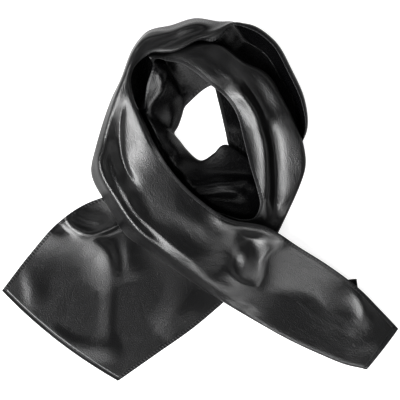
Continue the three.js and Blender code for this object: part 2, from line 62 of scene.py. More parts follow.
# %% Table of sections
SECTIONS = [
    # Left tail: a single flat layer.
    dict(neck=(-214, -99, -0.6), outer=(-88.5, -196.5, -0.6)),
    dict(neck=(-184, -60, -0.6), outer=(-48, -168, -0.6)),
    dict(neck=(-150, -23, -0.4), outer=(-7, -139, -0.4)),
    dict(neck=(-113, -1, 1), outer=(25, -112, 0.4), crown=1),
    dict(neck=(-62, 9, 6.5), outer=(45, -94, 1.5), crown=3),
    dict(neck=(-14, -2, 11), outer=(63, -74, 3.5), hem=(50, -62, 0.6), crown=4),
    dict(neck=(22, -15, 16), outer=(77, -54, 6.5), hem=(60, -43, 2.5), crown=4),
    # First turn round the opening, at the right.
    dict(neck=(44, -22, 20), outer=(86, -35, 9.5), hem=(60, -27, 7), crown=3),
    dict(neck=(58, -20, 22), outer=(97, -11, 11), hem=(65, -13, 9), crown=4),
    dict(neck=(64, -7, 22), outer=(107, 12, 14.5), hem=(70, 2, 7), crown=-1),
    dict(neck=(61, 10, 22), outer=(114, 34, 16.5), hem=(70, 22, 7), crown=-2),
    dict(neck=(54, 34, 22), outer=(112.5, 57, 17), hem=(70, 45, 5.5), crown=-2),
    dict(neck=(47, 62, 22), outer=(105.5, 77, 17), hem=(66, 68, 3.5), crown=-1),
    dict(neck=(39, 91, 22), outer=(92.5, 104, 16), hem=(57, 91, 3.5), crown=3),
    dict(neck=(24, 112, 23), outer=(72, 136, 17), hem=(46, 115, 3.5), crown=6),
    dict(neck=(9, 124, 24), outer=(48, 148, 18), hem=(35, 124, 4.5), crown=9),
    dict(neck=(-6, 136, 26), outer=(21, 167, 21), hem=(23, 126, 5), crown=6),
    dict(neck=(-20, 144.5, 28), outer=(-2, 168, 26), hem=(13, 123, 5), crown=3),
    dict(neck=(-35, 147.5, 30), outer=(-30, 160, 26), hem=(1, 116, 3), crown=2),
    dict(neck=(-47, 149.5, 31), outer=(-39, 148, 18), middle=(-58, 155, 28), hem=(-12, 104, 1.2)),
    # Left wall of the second turn, standing on its outer hem.
    dict(neck=(-51.5, 138, 33), outer=(-34, 139, 32), middle=(-45, 141, 36), hem=(-17, 98.5, 0.8)),
    dict(neck=(-57, 122, 29), outer=(-39, 118, 33), hem=(-20, 89, 0.5), crown=1),
    dict(neck=(-60, 99, 24), outer=(-53, 95, 26), hem=(-23.5, 79, 0.5), tuck=(-1, 1), crown=1),
    dict(neck=(-52, 80, 26), outer=(-25, 67, 2.5), hem=(-29, 69, 0.5), tuck=(-32, 18), crown=2),
    dict(neck=(-40, 53, 22), outer=(-14, 54, 2.5), hem=(-35, 48, 0.5), tuck=(-48, 18), crown=2),
    # Bottom of the second turn, inside the first.
    dict(neck=(-18, 22, 14), outer=(-1, 43, 2.5), hem=(-16, 14, 0.5), tuck=(-50, 13), crown=3),
    dict(neck=(6, -4, 12), outer=(6, 44, 2.5), hem=(4, 10, 0.5), tuck=(-44, 11), crown=1),
    dict(neck=(36, -18, 9), outer=(15, 50.5, 4), hem=(22, 18, 0.9), tuck=(-28, 7), crown=1),
    dict(neck=(76, -18, 4), outer=(28, 59.5, 6), hem=(32, 48.5, 0.9), tuck=(-6, 2), crown=1),
    dict(neck=(101, 10, 5), outer=(66, 40, 3), hem=(29.5, 62, 1.2)),
    dict(neck=(106, 48, 3), outer=(97, 51, 2), hem=(27.5, 72, 0.5)),
    # Right collar, standing behind the first turn.
    dict(neck=(116, 78, 24), outer=(107, 79, 1.5), hem=(25.2, 82, 0.5), tuck=(3, -3)),
    dict(neck=(113, 105, 29), outer=(104, 102, 1), hem=(22, 96, 0.5), tuck=(5, -4)),
    dict(neck=(99, 138, 32), outer=(89, 131, 1), hem=(19, 108, 0.5), tuck=(6, -4)),
    dict(neck=(80, 170, 33), outer=(70, 159, 1), hem=(16, 120, 0.5), tuck=(6, -4)),
    dict(neck=(56, 186.5, 34), outer=(50, 173, 2.5), hem=(12, 132, 0.6), tuck=(6, -3)),
    # The curl where the collar turns over into the top band.
    dict(neck=(35, 188, 38), outer=(37, 190, 14), hem=(7, 140, 0.8), tuck=(-5, 3)),
    dict(neck=(18, 180, 40), outer=(20, 191.5, 11), hem=(2, 143, 1), tuck=(-11, 7), crown=1),
    # Top band.
    dict(neck=(-2, 170, 40), outer=(-4, 195, 10), middle=(-3, 188, 34), hem=(-8, 136, 1.2),
         tuck=(0, 5)),
    dict(neck=(-28, 157.5, 38), outer=(-31, 187.5, 10), middle=(-30, 180, 34), hem=(-24, 133, 1.2),
         tuck=(0, 4)),
    dict(neck=(-52, 156, 37), outer=(-58, 180, 9), middle=(-57, 175, 32), hem=(-38, 133, 1.2),
         tuck=(0, 3)),
    dict(neck=(-66, 147, 36), outer=(-72, 163, 9), middle=(-70.5, 159, 35), hem=(-45, 128, 1.2),
         tuck=(0, 6)),
    dict(neck=(-74.5, 130, 35), outer=(-85, 130, 9), middle=(-82.5, 130, 35), hem=(-53, 118, 1.2),
         tuck=(0, 18)),
    dict(neck=(-71, 107, 34), outer=(-96, 107, 10), middle=(-91, 107, 34), hem=(-60, 100, 1.2),
         tuck=(0, 16)),
    dict(neck=(-62, 87, 34), outer=(-105.5, 81, 10), middle=(-98, 82, 32), hem=(-68, 79, 1.2),
         tuck=(0, 8)),
    # Front band, over the crossing.
    dict(neck=(-55, 72, 34), outer=(-113, 55, 9), middle=(-104, 57.5, 28), hem=(-78, 63, 1.2),
         tuck=(0, 3)),
    dict(neck=(-49, 60, 34), outer=(-118, 31, 7), middle=(-108, 35, 27), hem=(-98, 39, 1.8)),
    dict(neck=(-33, 34, 33), outer=(-100, -8, 7.5), middle=(-90, -2, 30), hem=(-97, -6, 6)),
    dict(neck=(-17, 15, 33), outer=(-79, -41, 6.5), middle=(-69.5, -32.5, 31), hem=(-77, -40, 5.5)),
    dict(neck=(-3, 2, 33), outer=(-53, -58, 8.5), middle=(-45, -48.5, 31), hem=(-48, -52, 4.5)),
    dict(neck=(29, -20, 33), outer=(-19, -83, 8.5), middle=(-11.5, -73, 28), hem=(-2, -52, 9.5)),
    dict(neck=(72, -30, 31), outer=(25, -112, 7), middle=(33, -98, 19), hem=(48, -61, 13)),
    # Right tail, folded lengthwise with its outer half underneath.
    dict(neck=(107, -52, 23), outer=(60, -133, 5), middle=(80, -98, 9), hem=(82, -71, 7)),
    dict(neck=(138, -71.5, 16), outer=(92, -151, 4), middle=(118, -105, 6), hem=(106, -82, 3)),
    dict(neck=(172, -97, 8), outer=(128, -168, 3), hem=(129, -91, 0.4), crown=1),
    dict(neck=(193, -118, 4), outer=(155, -179, 2.5), hem=(152, -88, 0.4), crown=2),
    dict(neck=(214, -140, 3), outer=(177, -184, 2), hem=(169, -86, 0.4), crown=1),
]
print(len(SECTIONS), "sections")

# %% [markdown]
# ## From a row of the table to a folded section
#
# A sharp lengthwise fold in satin is never a knife edge: the cloth goes round a small loft. So
# each row becomes seven points: the neck hem, two points at the turn on the neck side, the
# middle, two points at the outer turn, and the outer hem. Two points one above the other make a
# turn that stays round after smoothing, where a single point would collapse.

# %% Section points
FOLD_LOFT = 1.6  # half the height of the rounded back of a fold
TURN_LOFTS = 3  # the cloth turned under is at least this many lofts long
NECK_TOP, MIDDLE, OUTER_TOP = 2, 3, 4  # places of these three among a section's seven points


def section_points(row):
    """Seven points: hems at both ends, each turn as a pair one loft above and one loft below its
    place, and the middle as given or halfway between the turns plus the crown."""
    neck = np.array(row["neck"], float)
    outer = np.array(row["outer"], float)
    level = (outer - neck) * (1, 1, 0)
    level = level / max(np.linalg.norm(level), TINY)
    inwards, down = row.get("tuck", (0, 0))
    neck_hem = neck + level * inwards - (0, 0, down)
    outer_hem = np.array(row.get("hem", row["outer"]), float)
    halfway = (neck + outer) / 2 + (0, 0, row.get("crown", 0))
    middle = np.array(row.get("middle", halfway), float)
    neck_loft = min(FOLD_LOFT, np.linalg.norm(neck_hem - neck) / TURN_LOFTS)
    outer_loft = min(FOLD_LOFT, np.linalg.norm(outer_hem - outer) / TURN_LOFTS)
    if neck_hem[2] > neck[2]:
        neck_loft = -neck_loft
    up = np.array((0, 0, 1))
    return [
        neck_hem,
        neck - up * neck_loft,
        neck + up * neck_loft,
        middle,
        outer + up * outer_loft,
        outer - up * outer_loft,
        outer_hem,
    ]


RAILS = np.array([section_points(row) for row in SECTIONS])
STEPS = np.linalg.norm(np.diff(RAILS, axis=0), axis=2).mean(axis=1)
KNOTS = np.concatenate([[0], np.cumsum(STEPS)])
LENGTH = KNOTS[-1]
print("strip length as laid:", round(LENGTH), "mm")

# %% [markdown]
# ## A smooth path through the sections
#
# Lofting straight from section to section would leave a crease at each row. A cubic whose slope
# at a row is the mean of the slopes on both sides, weighted by the other side's length, passes
# through every row without one, and doesn't swing out where two rows lie close together.

# %% Path along the strip


def smooth_path(knots, values, at):
    """Cubic Hermite through the values: value and slope at both rows, weighted by the four cubic
    basis polynomials of the share between them."""
    spans = np.diff(knots).reshape((-1,) + (1,) * (values.ndim - 1))
    slopes = np.diff(values, axis=0) / spans
    tangents = np.empty_like(values)
    before, after = spans[:-1], spans[1:]
    tangents[1:-1] = (slopes[1:] * before + slopes[:-1] * after) / (before + after)
    tangents[0], tangents[-1] = slopes[0], slopes[-1]
    row = np.clip(np.searchsorted(knots, at, "right") - 1, 0, len(knots) - 2)
    span = spans[row]
    t = (at - knots[row]).reshape(span.shape) / span
    start = values[row] * (2 * t**3 - 3 * t**2 + 1) + tangents[row] * span * (t**3 - 2 * t**2 + t)
    end = values[row + 1] * (3 * t**2 - 2 * t**3) + tangents[row + 1] * span * (t**3 - t**2)
    return start + end


def along_strip(along):
    """The seven points of the section at each distance along the strip."""
    return smooth_path(KNOTS, RAILS, along)


quarter = along_strip(np.array([LENGTH / 4]))
print("middle of the strip a quarter of the way along:", quarter[0, MIDDLE].round())

# %% [markdown]
# ## Rounding across the strip
#
# Across the strip the seven points are joined by straight lines, which a moving average then
# rounds, as cloth rounds every corner by its own stiffness. At a hem the line is carried on past
# its end by an odd reflection, so that the average leaves the hem where it is.

# %% Path across the strip
ROUNDING = 5  # the average reaches this far on both sides
ROUNDING_SAMPLES = 13


def broken_line(points, shares, place):
    """A point on each row's line of straight pieces: start times (1 - w) plus end times w, in the
    piece where `place` falls. Past an end, twice the end minus the mirrored point."""
    mirrored = np.where(place < 0, -place, np.where(place > 1, 2 - place, place))
    out = np.zeros(place.shape + (3,))
    last = points.shape[1] - 2
    for k in range(last + 1):
        low, high = shares[:, k, None], shares[:, k + 1, None]
        w = np.clip((mirrored - low) / np.maximum(high - low, TINY), 0, 1)[..., None]
        here = (mirrored >= low) & ((mirrored < high) | (k == last))
        piece = points[:, None, k] * (1 - w) + points[:, None, k + 1] * w
        out = np.where(here[..., None], piece, out)
    out = np.where((place < 0)[..., None], 2 * points[:, None, 0] - out, out)
    return np.where((place > 1)[..., None], 2 * points[:, None, -1] - out, out)


def across_strip(points, across):
    """The mean of the broken line over samples spread evenly over the rounding reach on both
    sides, the seven points' shares of the width, and the width. `across` is in mm from the neck
    hem, a row for each section."""
    pieces = np.linalg.norm(np.diff(points, axis=1), axis=2)
    width = pieces.sum(axis=1)
    shares = np.concatenate([np.zeros((len(points), 1)), np.cumsum(pieces, axis=1)], axis=1)
    shares = shares / width[:, None]
    place = across / width[:, None]
    total = 0
    for offset in np.linspace(-1, 1, ROUNDING_SAMPLES):
        total = total + broken_line(points, shares, place + offset * ROUNDING / width[:, None])
    return total / ROUNDING_SAMPLES, shares, width


_, _, quarter_width = across_strip(quarter, np.zeros((1, 1)))
print("width there, from hem to hem along the cloth:", quarter_width.round(1), "mm")

# %% [markdown]
# ## Folds pressed into the cloth
#
# Satin shows every fold as a highlight and a shadow, so the folds carry the likeness. Each is a
# stroke seen from above, as a finger would press it: the places it passes, a rise (negative for a
# valley), and how broad its flank is on the left and on the right of the way it goes. A steep
# flank beside a gentle one makes a fold that leans over. A stroke belongs to a stretch of the
# strip, so that it never reaches the layers above or below, and `under` says whether it also
# shapes the cloth that is turned under.

# %% Table of folds
LEFT_TAIL = dict(first=0, last=4.5, under=True)
FIRST_TURN = dict(first=6.5, last=18.5, under=False)
LEFT_WALL = dict(first=18.6, last=25, under=True)
BOTTOM = dict(first=23, last=29.5, under=True)
TOP_BAND = dict(first=35, last=44, under=False)
FRONT_BAND = dict(first=40.5, last=60, under=False)

# Stretch, places, rise, left flank and right flank.
FOLDS = [
    # Left tail: a crescent of two crests by the crossing, an upright crease and a broad swell that
    # both turn to the left, an upright ridge, and soft waves by the hems.
    (LEFT_TAIL, [(-150, 0), (-141, -27), (-121, -37), (-100, -33), (-76, -18)], 7, 7, 3.5),
    (LEFT_TAIL, [(-144, -6), (-128, -19), (-96, -27)], 3, 4, 3.5),
    (LEFT_TAIL, [(-96, -186), (-97, -140), (-95, -90), (-97, -60), (-110, -45), (-190, -30)],
     1.8, 14, 5),
    (LEFT_TAIL, [(-90, -104), (-95, -72), (-100, -54), (-116, -45), (-150, -39), (-200, -24)],
     4, 17, 5),
    (LEFT_TAIL, [(-74, -100), (-77, -66), (-80, -28)], 3, 7, 9),
    (LEFT_TAIL, [(-176, -140), (-181, -98), (-184, -56)], 2.4, 8, 14),
    (LEFT_TAIL, [(-176, -124), (-152, -146), (-135, -156), (-108, -161), (-70, -160)], 2.4, 6, 12),
    (LEFT_TAIL, [(-60, -160), (-24, -124), (14, -90)], 3.4, 14, 14),
    # First turn: a fold that leans over a valley, whose second stroke runs out flat further up,
    # then the upper rim, a dent, the sharp rim of the plateau, and a low swell.
    (FIRST_TURN, [(66, -20), (73, 10), (73, 40), (67, 75), (54, 102), (30, 126)], 8, 8, 4.5),
    (FIRST_TURN, [(80, -30), (80, 25), (78, 58), (70, 90)], -7, 4, 6),
    (FIRST_TURN, [(79, 58), (70, 90), (52, 122), (30, 154)], -7, 4, 20),
    (FIRST_TURN, [(98, 84), (70, 128), (42, 156), (20, 168), (-10, 169)], 3, 9, 6),
    (FIRST_TURN, [(44, 108), (22, 138), (4, 166)], -3, 11, 11),
    (FIRST_TURN, [(94, -36), (107, 8), (112, 42), (105, 72), (92, 104)], 2.5, 14, 3),
    (FIRST_TURN, [(-40, 152), (-4, 142), (38, 108)], 2, 9, 9),
    # Left wall and bottom of the second turn.
    (LEFT_WALL, [(-58, 98), (-38, 118), (-36, 146)], 5, 11, 6),
    (LEFT_WALL, [(-44, 122), (-44, 132), (-43, 143)], 2, 4, 4),
    (LEFT_WALL, [(-40, 105), (-24, 110), (-8, 122)], 3, 4, 4),
    (LEFT_WALL, [(-46, 54), (-32, 80), (-29, 108)], 6, 6, 6),
    (LEFT_WALL, [(-27, 34), (-26, 52), (-27, 68)], 6, 6, 6),
    (BOTTOM, [(-26, 8), (20, 16), (70, 20)], 7, 6, 5),
    (BOTTOM, [(-22, 3), (16, 7), (56, 9)], 4, 4, 5),
    (BOTTOM, [(28, -4), (32, 12), (34, 30)], 5, 16, 10),
    # Top band: a fine crease, a low ridge and a valley.
    (TOP_BAND, [(-90, 168), (-50, 177), (-20, 186)], -2.5, 4, 3),
    (TOP_BAND, [(-92, 156), (-66, 170), (-40, 176), (-10, 184), (40, 192)], 1.8, 4, 5),
    (TOP_BAND, [(-80, 146), (-30, 168), (-8, 177), (40, 188)], -3, 5, 5),
    # Front band: a bright fold along the neck and the black valley beside it, whose last stroke
    # has a sharp wall, then a soft swell, two long ridges and a low one by the outer edge, and the
    # ridge along the neck at the crossing.
    (FRONT_BAND, [(-42, 30), (-53, 54), (-62, 74), (-69, 98), (-72, 126)], 3, 14, 4),
    (FRONT_BAND, [(-68, 14), (-77, 30), (-84, 46), (-86, 68), (-84, 92), (-80, 118)], -4, 9, 13),
    (FRONT_BAND, [(-20, -62), (-60, -14), (-73, 16), (-82, 46), (-85, 68), (-83, 96)],
     -3.2, 13, 12),
    (FRONT_BAND, [(-80, 112), (-85, 88), (-86, 64), (-83, 42), (-75, 22), (-64, 6)], -6, 2.5, 13),
    (FRONT_BAND, [(-58, 10), (-38, -7), (-14, -19), (16, -37), (44, -60)], 3, 14, 12),
    (FRONT_BAND, [(50, -128), (-20, -77), (-45, -54), (-65, -33), (-89, -2), (-106, 30), (-114, 64)],
     4, 4, 6),
    (FRONT_BAND, [(14, -82), (-30, -49), (-50, -31), (-68, -13), (-79, 5), (-88, 22), (-98, 66)],
     4, 4, 12),
    (FRONT_BAND, [(-20, -72), (10, -92), (40, -108), (80, -124)], 2.5, 14, 4),
    (FRONT_BAND, [(6, -11), (18, -20), (31, -27), (50, -31), (72, -35), (104, -48)], 3.6, 6, 5),
    # Right tail: a pocket, a low ridge on its left, its raised rim, a low valley, and two soft
    # folds near the end.
    (FRONT_BAND, [(34, -38), (55, -43), (74, -46)], -6, 4, 12),
    (FRONT_BAND, [(50, -96), (50, -66), (46, -38)], 2.2, 6, 12),
    (FRONT_BAND, [(26, -70), (44, -90), (60, -93), (66, -80), (68, -66), (77, -54), (98, -38)],
     2.2, 2.2, 5),
    (FRONT_BAND, [(40, -84), (35, -60), (30, -36)], -2.5, 6, 6),
    (FRONT_BAND, [(164, -152), (178, -122), (172, -106), (158, -84)], 5, 7, 9),
    (FRONT_BAND, [(154, -156), (176, -157), (204, -150)], 1.5, 6, 7),
]
print(len(FOLDS), "folds")

# %% Strokes
STROKE_PIECES = 24


def ease(t):
    """Three t squared minus two t cubed, held at 0 and 1 outside that range."""
    t = np.clip(t, 0, 1)
    return t * t * (3 - 2 * t)


def stroke_line(places):
    """A smooth line through the places: the same cubic as along the strip, on their distances."""
    places = np.array(places, float)
    lengths = np.linalg.norm(np.diff(places, axis=0), axis=1)
    knots = np.concatenate([[0], np.cumsum(lengths)])
    return smooth_path(knots, places, np.linspace(0, knots[-1], STROKE_PIECES + 1))


def stroke_distance(x, y, line):
    """Distance from each place to the line's nearest straight piece, negative on its left, and
    the share of the way along the line."""
    nearest = np.full(x.shape, np.inf)
    share = np.zeros(x.shape)
    for k in range(STROKE_PIECES):
        run = line[k + 1] - line[k]
        ahead = ((x - line[k, 0]) * run[0] + (y - line[k, 1]) * run[1]) / (run @ run)
        w = np.clip(ahead, 0, 1)
        dx = x - line[k, 0] - w * run[0]
        dy = y - line[k, 1] - w * run[1]
        distance = np.hypot(dx, dy) * np.where(run[0] * dy - run[1] * dx > 0, -1, 1)
        closer = np.abs(distance) < np.abs(nearest)
        nearest = np.where(closer, distance, nearest)
        share = np.where(closer, (k + w) / STROKE_PIECES, share)
    return nearest, share


STROKES = [stroke_line(places) for _, places, _, _, _ in FOLDS]
STROKE_LENGTHS = [np.linalg.norm(np.diff(line, axis=0), axis=1).sum() for line in STROKES]
print("strokes are", round(min(STROKE_LENGTHS)), "to", round(max(STROKE_LENGTHS)), "mm long")

# %% [markdown]
# ## The shape of one fold
#
# A fold of cloth is steepest on its flanks and round at its crest, and it runs out gently at both
# ends instead of stopping. A bell curve would be too flat on top and too thin at its foot. So the
# height falls off as an exponential of the distance, whose sharp peak is rounded by measuring the
# distance along a hyperbola.

# %% Press the folds
FOLD_FALL = 1.3  # steepness of a fold's flanks
FOLD_CREST = 0.9  # rounding of its crest, as a share of the breadth
FOLD_REACH = 4.5  # a fold is left out beyond this many breadths
FOLD_FADE = 4  # a fold rises or dies over this many mean breadths at each end
FADE_LIMIT = 0.5  # or over this share of its length, where that is shorter
FOLD_FAN = 1.0  # how much wider a fold grows where it dies, as a share of its breadth
STRETCH_FADE = 0.5  # sections over which a fold dies at the ends of its stretch
TURN_FADE = 6  # millimetres over which a fold dies at a lengthwise turn


def fold_height(x, y, section, on_top):
    """The sum over the folds of rise times exp(-fall times distance over breadth), with a rounded
    crest, faded at the stroke's ends, at its stretch's ends and at the lengthwise turns. Each
    fold is worked out only where it reaches."""
    height = np.zeros(x.shape)
    for (stretch, _, rise, left, right), line, length in zip(FOLDS, STROKES, STROKE_LENGTHS):
        margin = FOLD_REACH * max(left, right)
        low, high = line.min(axis=0) - margin, line.max(axis=0) + margin
        near = (x > low[0]) & (x < high[0]) & (y > low[1]) & (y < high[1])
        first = ease((section - stretch["first"]) / STRETCH_FADE + 1)
        last = ease((stretch["last"] - section) / STRETCH_FADE + 1)
        weight = (first * last)[:, None] * np.where(stretch["under"], 1.0, on_top)
        near &= weight > 0
        distance, share = stroke_distance(x[near], y[near], line)
        fade = min(FOLD_FADE * (left + right) / 2 / length, FADE_LIMIT)
        ends = ease(share / fade) * ease((1 - share) / fade)
        breadth = np.where(distance < 0, left, right) * (1 + FOLD_FAN * (1 - ends))
        crest = FOLD_CREST * breadth
        flank = np.exp(-FOLD_FALL * (np.hypot(distance, crest) - crest) / breadth)
        height[near] += rise * flank * ends * weight[near]
    return height


print("a fold is felt up to", FOLD_REACH, "breadths away")

# %% [markdown]
# ## The cloth as a function of two lengths
#
# Now any point of the cloth is a function of the distance along the strip and the distance across
# it. The field, the hems and the stitches are all cut from this one function, so they can't come
# apart. The ends of the real strip bow out a little, and the lowest layer rests on the table.

# %% Cloth function
LEFT_END_BOW = 6
RIGHT_END_BOW = 3
BOW_REACH = 60  # an end's bow dies away over this length
HALF_STEP = 0.5  # ahead and behind, so that their difference is the strip's direction
PANEL_WALL = 1.0  # the satin field, with the air that a loose layer of cloth holds


def width_at(along):
    """The length of each section's broken line."""
    return np.linalg.norm(np.diff(along_strip(along), axis=1), axis=2).sum(axis=1)


def end_bow(along, share):
    """Four times share times (1 - share), times the end's bow, eased to nothing further in."""
    bulge = 4 * share * (1 - share)
    left = LEFT_END_BOW * ease(1 - along / BOW_REACH)[:, None]
    right = RIGHT_END_BOW * ease(1 - (LENGTH - along) / BOW_REACH)[:, None]
    return (right - left) * bulge


def cloth(along, across):
    """Points of the cloth: the rounded section, moved along by the end's bow, raised by the folds
    and held above the table."""
    points, shares, width = across_strip(along_strip(along), across)
    ahead, _, _ = across_strip(along_strip(along + HALF_STEP), across)
    behind, _, _ = across_strip(along_strip(along - HALF_STEP), across)
    place = across / width[:, None]
    bow = end_bow(along, place)
    points = points + (ahead - behind) * bow[..., None]
    section = np.interp(along, KNOTS, np.arange(len(SECTIONS)))
    low, high = shares[:, NECK_TOP, None], shares[:, OUTER_TOP, None]
    soft = (TURN_FADE / width)[:, None]
    on_top = ease((place - low) / soft + 1) * ease((high - place) / soft + 1)
    points[..., 2] += fold_height(points[..., 0], points[..., 1], section, on_top)
    points[..., 2] = np.maximum(points[..., 2], PANEL_WALL / 2)
    return points


middle_line = np.linspace(0, LENGTH, len(SECTIONS))
crests = cloth(middle_line, width_at(middle_line)[:, None] / 2)
print("highest place of the cloth's middle line:", crests[..., 2].max().round(1), "mm")

# %% [markdown]
# ## The satin field
#
# The field is the whole strip between its hems. Its grid is one long rectangle of 470 by 100
# cells, and its UV map is the flat cloth itself in metres, which is how a weaver would measure
# it. The cells face up where the satin side shows. A Solidify modifier gives the wall, and its
# material offset puts the duller back of the cloth on the other side.

# %% Helpers for surfaces


def centred(points):
    """Drawn places moved so that the whole scarf's box is centred on the origin, in metres."""
    return (points - CENTRE) * MM


def grid_faces(rows, columns, closed=False):
    """Four corners for each cell of a grid, row by row. A closed grid joins its last column to
    its first."""
    index = np.arange(rows * columns).reshape(rows, columns)
    if closed:
        index = np.concatenate([index, index[:, :1]], axis=1)
    corners = [index[:-1, :-1], index[:-1, 1:], index[1:, 1:], index[1:, :-1]]
    return np.stack(corners, axis=-1).reshape(-1, 4)


def new_piece(name, points, faces, uv):
    """A smooth mesh object at the origin, with a UV place for each vertex."""
    mesh = bpy.data.meshes.new(name)
    mesh.from_pydata(points.reshape(-1, 3).tolist(), [], faces)
    corners = np.empty(len(mesh.loops), dtype=np.int32)
    mesh.loops.foreach_get("vertex_index", corners)
    layer = mesh.uv_layers.new(name="UVMap")
    layer.data.foreach_set("uv", uv.reshape(-1, 2)[corners].astype(np.float32).ravel())
    mesh.polygons.foreach_set("use_smooth", np.ones(len(mesh.polygons), dtype=bool))
    piece = bpy.data.objects.new(name, mesh)
    bpy.context.scene.collection.objects.link(piece)
    return piece


print("corners of the one cell of a two by two grid:", grid_faces(2, 2)[0])

# %% Make the satin field
FIELD_ROWS = 470
FIELD_COLUMNS = 100
HEM_WIDTH = 4.0
UNDERLAP = 1.5  # how far the field runs into its hems
FIELD_INSET = HEM_WIDTH - UNDERLAP
FIELD_WALL = 0.7  # the visible cloth is thinner than the wall of the solid
BOX_ROWS = 400  # a coarser grid from edge to edge gives the scarf's box
BOX_COLUMNS = 60

along = np.linspace(FIELD_INSET, LENGTH - FIELD_INSET, FIELD_ROWS + 1)
width = width_at(along)
share = np.linspace(0, 1, FIELD_COLUMNS + 1)
across = FIELD_INSET + share[None, :] * (width[:, None] - 2 * FIELD_INSET)
drawn = cloth(along, across)

box_along = np.linspace(0, LENGTH, BOX_ROWS)
box_across = np.linspace(0, 1, BOX_COLUMNS)[None, :] * width_at(box_along)[:, None]
whole = cloth(box_along, box_across)
CENTRE = (whole.min(axis=(0, 1)) + whole.max(axis=(0, 1))) / 2 * (1, 1, 0)
print("drawing's centre, mm:", CENTRE.round(2))

uv = np.stack([np.broadcast_to(along[:, None], across.shape), across], axis=-1) * MM
satin_field = new_piece("satin_field", centred(drawn), grid_faces(*across.shape).tolist(), uv)
wall = satin_field.modifiers.new("wall", "SOLIDIFY")
wall.thickness = FIELD_WALL * MM
wall.offset = 0
wall.material_offset = 1
diagonals = drawn[1:, 1:] - drawn[:-1, :-1], drawn[1:, :-1] - drawn[:-1, 1:]
cloth_area = np.linalg.norm(np.cross(*diagonals), axis=-1).sum() / 2 * MM**2
print("satin field:", len(satin_field.data.polygons), "cells,", cloth_area.round(4), "square metres")

# %% [markdown]
# ## Hems
#
# A real hem is the edge turned in twice, so it is three layers thick with a rounded outer lip.
# It could be a tube along the edge, but a tube twists where the strip turns over. Instead each
# hem is a thin closed shell round the cloth function: the surface plus and minus its own normal
# times a half thickness that is round at the lip and thins towards the stitches.

# %% Helpers for hems
NORMAL_STEP = 1.0
TABLE_GAP = 0.05  # nothing comes closer to the table


def unit(vectors):
    """Each vector over its own length."""
    return vectors / np.maximum(np.linalg.norm(vectors, axis=-1, keepdims=True), TINY)


def cloth_normals(along, across):
    """The cross product of two short differences of the cloth, along and across, made unit."""
    ahead = cloth(along + NORMAL_STEP, across)
    behind = cloth(along - NORMAL_STEP, across)
    outwards = cloth(along, across + NORMAL_STEP)
    inwards = cloth(along, across - NORMAL_STEP)
    return unit(np.cross(outwards - inwards, ahead - behind))


def shell_loop(middle, normals, half):
    """A closed section: the upper side out, then the lower side back. Both are the middle plus or
    minus the normal times the half thickness, and neither goes below the table."""
    upper = middle + normals * half[..., None]
    lower = middle - normals * half[..., None]
    loop = np.concatenate([upper, lower[:, ::-1]], axis=1)
    loop[..., 2] = np.maximum(loop[..., 2], TABLE_GAP)
    return loop


def capped_faces(rows, columns, flip):
    """The faces of a tube of closed sections, with one face at each end."""
    faces = grid_faces(rows, columns, closed=True).tolist()
    faces.append(list(range(columns))[::-1])
    faces.append(list(range((rows - 1) * columns, rows * columns)))
    return [f[::-1] for f in faces] if flip else faces


print("hem shells ready")

# %% Side hems
LIP = np.array([0.03, 0.25, 0.6, 1.1, 1.8, 2.6, 3.2, 3.6, 3.95])  # mm in from the edge
HALF = np.array([0.15, 0.52, 0.66, 0.7, 0.68, 0.62, 0.5, 0.6, 0.42])  # dips where stitches pull
LIP_BREADTH = 1.5  # the stitches don't pull the hem this near its edge
PUCKER_PITCH = 3.4  # mm between stitches
PUCKER_SWELL = 0.1  # as a share of the half thickness
SIDE_HEM_ROWS = 901


def pucker_swell(place, edge):
    """One plus the swell times the cosine of the place over the stitches' pitch, past the lip."""
    wave = np.cos(2 * math.pi * place / PUCKER_PITCH)
    return 1 + PUCKER_SWELL * wave * (edge > LIP_BREADTH)


def side_hem(name, at_neck):
    """A shell along one long edge, whose half thickness also swells and sinks with each stitch."""
    steps = np.linspace(HEM_WIDTH, LENGTH - HEM_WIDTH, SIDE_HEM_ROWS)
    edge = np.broadcast_to(LIP, (len(steps), len(LIP)))
    place = edge if at_neck else width_at(steps)[:, None] - edge
    half = HALF * pucker_swell(steps[:, None], LIP)
    loop = shell_loop(cloth(steps, place), cloth_normals(steps, place), half)
    v = np.concatenate([place, place[:, ::-1]], axis=1)
    flat = np.stack([np.broadcast_to(steps[:, None], v.shape), v], axis=-1) * MM
    faces = capped_faces(len(steps), loop.shape[1], flip=not at_neck)
    return new_piece(name, centred(loop), faces, flat)


neck_hem = side_hem("hem_neck_side", True)
outer_hem = side_hem("hem_outer_side", False)
print("side hems:", len(neck_hem.data.polygons), "faces each")

# %% End hems
END_HEM_ROWS = 91
END_MARGIN = 0.15  # the end hem stops this far inside the side hems' edge


def end_hem(name, at_left):
    """The same shell across one end, from edge to edge."""
    edge = LIP if at_left else LENGTH - LIP
    rows = np.linspace(0, 1, END_HEM_ROWS)
    span = END_MARGIN + rows[None, :] * (width_at(edge)[:, None] - 2 * END_MARGIN)
    half = HALF[:, None] * pucker_swell(span, LIP[:, None])
    middle, normals = cloth(edge, span), cloth_normals(edge, span)
    loop = shell_loop(middle.transpose(1, 0, 2), normals.transpose(1, 0, 2), half.T)
    lengthwise = np.broadcast_to(np.concatenate([edge, edge[::-1]]), loop.shape[:2])
    crosswise = np.broadcast_to(rows[:, None] * width_at(edge).mean(), loop.shape[:2])
    flat = np.stack([lengthwise, crosswise], axis=-1) * MM
    faces = capped_faces(loop.shape[0], loop.shape[1], flip=at_left)
    return new_piece(name, centred(loop), faces, flat)


left_hem = end_hem("hem_left_end", True)
right_hem = end_hem("hem_right_end", False)
print("end hems:", len(left_hem.data.polygons), "faces each")

